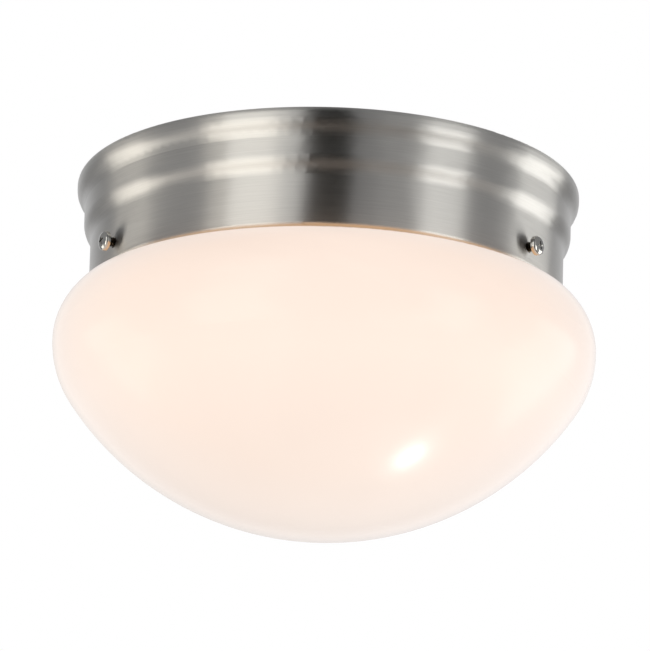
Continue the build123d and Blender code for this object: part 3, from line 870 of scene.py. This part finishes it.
# %% Mounting screws
FLOOR_DEPTH = 0.0128  # from the ceiling down to the side of the pan's floor that carries the heads
low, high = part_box("mounting_screws")
head_radius = (high.y - low.y) / 2
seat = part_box("canopy_pan")[1].z - FLOOR_DEPTH
head_height = seat - low.z
shapes = []
for x in (low.x + head_radius, high.x - head_radius):
    shape = screw(SCREW_RADIUS, high.z - seat, pan_head(head_radius, head_height), cross_punch(head_height))
    place = Matrix.Translation((x, 0, seat)) @ Matrix.Rotation(math.pi, 4, "X")
    bmesh.ops.transform(shape, matrix=place, verts=shape.verts)
    shapes.append(shape)
piece = add_piece("mounting_screws_threaded", joined(*shapes), zinc, "pan", ["mounting_screws"])
shade_round(piece)
print("mounting screws seat at", round(seat, 5))

# %% Holder screws
HOLDER_RADIUS, HOLDER_LENGTH, HOLDER_HEAD = 0.0015, 0.0062, 0.002
LAMP_OFFSET, HOLDER_SPACING = 0.033, 0.011
low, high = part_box("holder_screws")
head_radius = (high.z - low.z) / 2
outline = [
    (0, 0), (head_radius, 0), (head_radius, 0.0011), (0.88 * head_radius, 0.0017),
    (0.6 * head_radius, 0.00195), (0, HOLDER_HEAD),
]
shapes = []
for side, back in ((1, low.x), (-1, high.x)):
    facing = Matrix.Rotation(math.radians(-90 * side), 4, "Y")
    for along in (-HOLDER_SPACING, HOLDER_SPACING):
        shape = screw(HOLDER_RADIUS, HOLDER_LENGTH, outline, slot_punch(0.0062, 0.00065, HOLDER_HEAD))
        stand = (back + side * HOLDER_HEAD, -side * LAMP_OFFSET + along, box_middle(low, high).z)
        bmesh.ops.transform(shape, matrix=Matrix.Translation(stand) @ facing, verts=shape.verts)
        shapes.append(shape)
piece = add_piece("holder_screws_threaded", joined(*shapes), zinc, "pan", ["holder_screws"])
shade_round(piece)
print("holder screws:", len(shapes))

# %% Ground screw
GROUND_RADIUS, GROUND_LENGTH = 0.0023, 0.0042
CORE_RADIUS, CORE_HEIGHT = 0.0021, 0.001  # what joins the shank to the head, inside it
HEX_RADIUS, HEX_HEIGHT, HEX_EDGE = 0.0044, 0.0026, 0.0005
low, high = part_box("ground_screw")
core = [(0, 0), (CORE_RADIUS, 0), (CORE_RADIUS, CORE_HEIGHT), (0, CORE_HEIGHT)]
shank = screw(GROUND_RADIUS, GROUND_LENGTH, core)
head = bmesh.new()
bmesh.ops.create_circle(head, cap_ends=True, segments=6, radius=HEX_RADIUS)
grown = bmesh.ops.extrude_face_region(head, geom=head.faces[:])["geom"]
raised = [g for g in grown if isinstance(g, bmesh.types.BMVert)]
bmesh.ops.translate(head, verts=raised, vec=(0, 0, HEX_HEIGHT))
bmesh.ops.recalc_face_normals(head, faces=head.faces)
top_edges = [e for e in head.edges if all(v.co.z > HEX_HEIGHT / 2 for v in e.verts)]
bmesh.ops.bevel(
    head, geom=top_edges, offset=HEX_EDGE, segments=2, profile=0.5, affect="EDGES", material=-1
)
head = carved(head, slot_punch(0.0096, 0.0013, HEX_HEIGHT))
middle = box_middle(low, high)
place = Matrix.Translation((middle.x, middle.y, high.z - HEX_HEIGHT))
piece = add_piece(
    "ground_screw_threaded", joined(head, shank), green_paint, "pan", ["ground_screw"], place
)
shade_round(piece)
print("ground screw faces:", len(piece.data.polygons))

# %% [markdown]
# ## Screw shells and bulb caps
#
# A bulb's cap and its holder's shell are thin metal rolled into the same round thread, 3.6 mm from
# turn to turn. The wave fades out near both ends, so that the rims are true circles. The open skin
# is drawn on to its foot and its rim, and gets its wall last.

# %% Rolled threads
ROLLED_PITCH = 0.00363
ROLLED_STEPS = 48
FADE_LENGTH = 0.0022


def rolled(inner, outer, start, end):
    """A skin whose rolled thread runs between two radii and fades at its ends."""
    middle = (inner + outer) / 2
    wave = [(k / 8, middle + (outer - middle) * math.cos(math.tau * k / 8)) for k in range(9)]
    bm = helix(wave, ROLLED_PITCH, start, end, ROLLED_STEPS)
    for vert in bm.verts:
        flat = Vector((vert.co.x, vert.co.y, 0))
        depth = min(max(min(vert.co.z - start, end - vert.co.z) / FADE_LENGTH, 0), 1)
        share = depth * depth * (3 - 2 * depth)
        wanted = middle + (flat.length - middle) * share
        vert.co.x, vert.co.y = flat.normalized().xy * wanted
    return bm


def lamp_place(node, side):
    """Carries a shape along Z to a lamp's axis, its z = 0 at the back end of that node."""
    low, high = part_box(node)
    stand = box_middle(low, high)
    stand.x = low.x if side > 0 else high.x
    return Matrix.Translation(stand) @ Matrix.Rotation(math.radians(90 * side), 4, "Y")


def add_wall(shape, thickness):
    """Turns an open skin's faces outwards and gives it its wall."""
    bmesh.ops.recalc_face_normals(shape, faces=shape.faces)
    bmesh.ops.solidify(shape, geom=shape.faces[:], thickness=thickness)


# %% Bulb caps
CAP_FOOT, CAP_RIM = 0.0026, 0.001  # plain lengths before and after the thread
CAP_THREAD, CAP_WALL = 0.00065, 0.00035
for name, side in (("left", 1), ("right", -1)):
    node = f"bulb_cap_{name}"
    low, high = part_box(node)
    cap_radius, cap_length = (high.y - low.y) / 2, high.x - low.x
    rim_radius, cap_end = cap_radius - 0.0001, cap_length - CAP_RIM
    shape = rolled(cap_radius - CAP_THREAD, cap_radius, CAP_FOOT, cap_end)
    draw_through(shape, CAP_FOOT, (0.0105, 0.0003), (0.0100, 0), (0.0092, 0))
    draw_through(shape, cap_end, (rim_radius, cap_length - 0.0005), (rim_radius, cap_length))
    add_wall(shape, CAP_WALL)
    piece = add_piece(
        f"bulb_cap_rolled_{name}", shape, cap_aluminium, f"bulb_{name}",
        [node], lamp_place(node, side),
    )
    shade_round(piece, 50)
print("cap radius", round(cap_radius, 5))

# %% Screw shells
SHELL_FOOT, SHELL_RIM = 0.0012, 0.001
SHELL_THREAD, SHELL_WALL, SHELL_HOLE = 0.00045, 0.0003, 0.0075
for name, side in (("left", 1), ("right", -1)):
    node = f"screw_shell_{name}"
    low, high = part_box(node)
    shell_radius, shell_length = (high.y - low.y) / 2, high.x - low.x
    rim_radius, shell_end = shell_radius - 0.0001, shell_length - SHELL_RIM
    shape = rolled(shell_radius - SHELL_THREAD, rim_radius, SHELL_FOOT, shell_end)
    draw_through(
        shape, SHELL_FOOT, (shell_radius - 0.0005, 0.0004), (shell_radius - 0.001, 0), (SHELL_HOLE, 0)
    )
    draw_through(shape, shell_end, (rim_radius, shell_length))
    add_wall(shape, SHELL_WALL)
    piece = add_piece(
        f"screw_shell_rolled_{name}", shape, shell_brass, "pan",
        [node], lamp_place(node, side),
    )
    shade_round(piece, 50)
print("shell radius", round(shell_radius, 5))

# %% [markdown]
# ## The insulation pad
#
# A ring of glass-fibre felt lies behind the pan and keeps the bulbs' heat off the ceiling. Felt has
# no sharp edges and no flat faces. The ring is spun from a rounded outline, and a noise then moves
# each point a little, which is what a soft mat cut with a knife looks like.

# %% Felt ring
PAD_INNER, PAD_CORNER = 0.058, 0.0026
LONGEST_EDGE = 0.006
FIBRE_SCALE, FIBRE_DEPTH = 160, 0.0006
low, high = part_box("insulation_pad")
outline = []
for middle_radius, middle_height, first in (
    (high.x - PAD_CORNER, high.z - PAD_CORNER, 90), (high.x - PAD_CORNER, low.z + PAD_CORNER, 0),
    (PAD_INNER + PAD_CORNER, low.z + PAD_CORNER, -90), (PAD_INNER + PAD_CORNER, high.z - PAD_CORNER, -180),
):
    for degrees in (first, first - 30, first - 60, first - 90):
        turned = math.radians(degrees)
        outline.append(
            (middle_radius + PAD_CORNER * math.cos(turned), middle_height + PAD_CORNER * math.sin(turned))
        )
outline.append(outline[0])
shape = spun(outline, steps=160)
long_edges = [e for e in shape.edges if e.calc_length() > LONGEST_EDGE]
bmesh.ops.subdivide_edges(shape, edges=long_edges, cuts=5, use_grid_fill=True)
for vert in shape.verts:
    soft = noise.fractal(vert.co * FIBRE_SCALE, 1.0, 2.0, 3)
    way = vert.normal if vert.normal.length > 0 else Vector((0, 0, 1))
    vert.co -= way * FIBRE_DEPTH * min(max(0.5 + 0.5 * soft, 0), 1)
bmesh.ops.recalc_face_normals(shape, faces=shape.faces)
felt = clouded(
    "glass_fibre_felt", (0.72, 0.60, 0.30), (0.88, 0.80, 0.50), 0.8, 0.95, scale=260, grain_scale=2600,
    bump=0.0004, Sheen_Weight=0.5, Sheen_Roughness=0.5,
)
piece = add_piece("insulation_pad_felt", shape, felt, "pan", ["insulation_pad"])
shade_round(piece, 80)
print("felt ring faces:", len(piece.data.polygons))

# %% [markdown]
# ## The two leads
#
# A live and a neutral lead join the lampholders over the bulbs. Stiff single wires keep the bends
# they are given, so each is one smooth curve through a few control points, round and unbroken.

# %% Leads
LEAD_DIAMETER = 0.0026


def lead(name, points, material, node):
    """A wire along a smooth curve from terminal to terminal."""
    curve = bpy.data.curves.new(name, "CURVE")
    curve.dimensions = "3D"
    curve.bevel_depth = LEAD_DIAMETER / 2
    curve.bevel_resolution = 5
    curve.use_fill_caps = True
    spline = curve.splines.new("NURBS")
    spline.points.add(len(points) - 1)
    for point, place in zip(spline.points, points):
        point.co = (*place, 1)
    spline.order_u = 3
    spline.use_endpoint_u = True
    spline.resolution_u = 16
    curve.materials.append(material)
    wire = bpy.data.objects.new(name, curve)
    scene.collection.objects.link(wire)
    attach(wire, "pan")
    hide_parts(node)
    print(name, "has", len(points), "control points")


lead(
    "live_lead_wire",
    [(-0.068, -0.027, -0.0325), (-0.068, -0.027, -0.0163), (-0.044, -0.0095, -0.0163),
     (0.044, -0.0095, -0.0163), (0.068, 0.027, -0.0163), (0.068, 0.027, -0.0325)],
    black_insulation, "live_lead",
)
lead(
    "neutral_lead_wire",
    [(-0.068, -0.039, -0.0325), (-0.068, -0.039, -0.0201), (-0.046, -0.0135, -0.0201),
     (0.046, -0.0135, -0.0201), (0.068, 0.039, -0.0201), (0.068, 0.039, -0.0325)],
    white_insulation, "neutral_lead",
)
